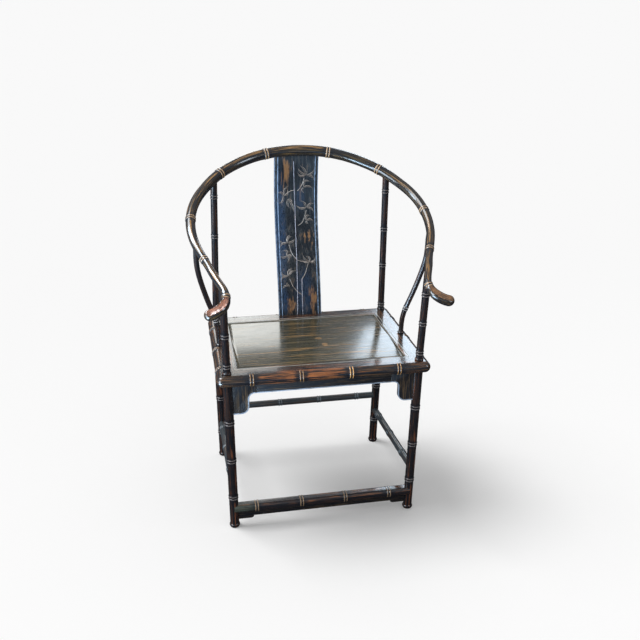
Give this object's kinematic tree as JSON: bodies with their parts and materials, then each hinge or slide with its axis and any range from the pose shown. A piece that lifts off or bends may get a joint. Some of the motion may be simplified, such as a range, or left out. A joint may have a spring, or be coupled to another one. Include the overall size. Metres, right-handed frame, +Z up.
{
  "type": "horseshoe back armchair",
  "caption": "Horseshoe-back wooden armchair in imitation bamboo: curved crest rail running into the arms, carved back splat, framed panel seat and stretchers.",
  "frame": {"origin": "on the floor, under the middle of the chair's overall width and depth", "axes": "+Z up, the sitter faces -Y, +X to the right of someone who looks at the chair's front"},
  "size_m": [0.6944, 0.5732, 1.0028],
  "materials": {
    "turned_lacquer": "semi-gloss dark lacquer, rubbed through on the nodes",
    "frame_lacquer": "semi-gloss dark lacquer with rubbed edges",
    "panel_lacquer": "glossy dark lacquer with grain showing",
    "splat_lacquer": "semi-gloss dark lacquer, worn in patches",
    "apron_lacquer": "semi-gloss dark lacquer",
    "plain_wood": "unlacquered wood"
  },
  "bodies": {
    "root": {"crest_rail_center": "turned_lacquer", "crest_rail_left_shoulder": "turned_lacquer", "crest_rail_right_shoulder": "turned_lacquer", "crest_rail_left_arm": "turned_lacquer", "crest_rail_right_arm": "turned_lacquer", "front_left_post": "turned_lacquer", "front_right_post": "turned_lacquer", "rear_left_post": "turned_lacquer", "rear_right_post": "turned_lacquer", "left_side_brace": "turned_lacquer", "right_side_brace": "turned_lacquer", "rear_stretcher": "turned_lacquer", "left_side_stretcher": "turned_lacquer", "right_side_stretcher": "turned_lacquer", "front_foot_rail": "turned_lacquer", "seat_frame_front": "frame_lacquer", "seat_frame_rear": "frame_lacquer", "seat_frame_left": "frame_lacquer", "seat_frame_right": "frame_lacquer", "seat_panel": "panel_lacquer", "back_splat": "splat_lacquer", "front_apron": "apron_lacquer", "rear_apron": "apron_lacquer", "left_side_apron": "apron_lacquer", "right_side_apron": "apron_lacquer", "front_left_spandrel": "apron_lacquer", "front_right_spandrel": "apron_lacquer", "rear_left_spandrel": "apron_lacquer", "rear_right_spandrel": "apron_lacquer", "left_side_front_spandrel": "apron_lacquer", "left_side_rear_spandrel": "apron_lacquer", "right_side_front_spandrel": "apron_lacquer", "right_side_rear_spandrel": "apron_lacquer", "foot_rail_apron": "apron_lacquer", "left_seat_batten": "plain_wood", "right_seat_batten": "plain_wood", "scarf_pins": "plain_wood", "frame_pegs": "plain_wood"}
  },
  "joints": []
}
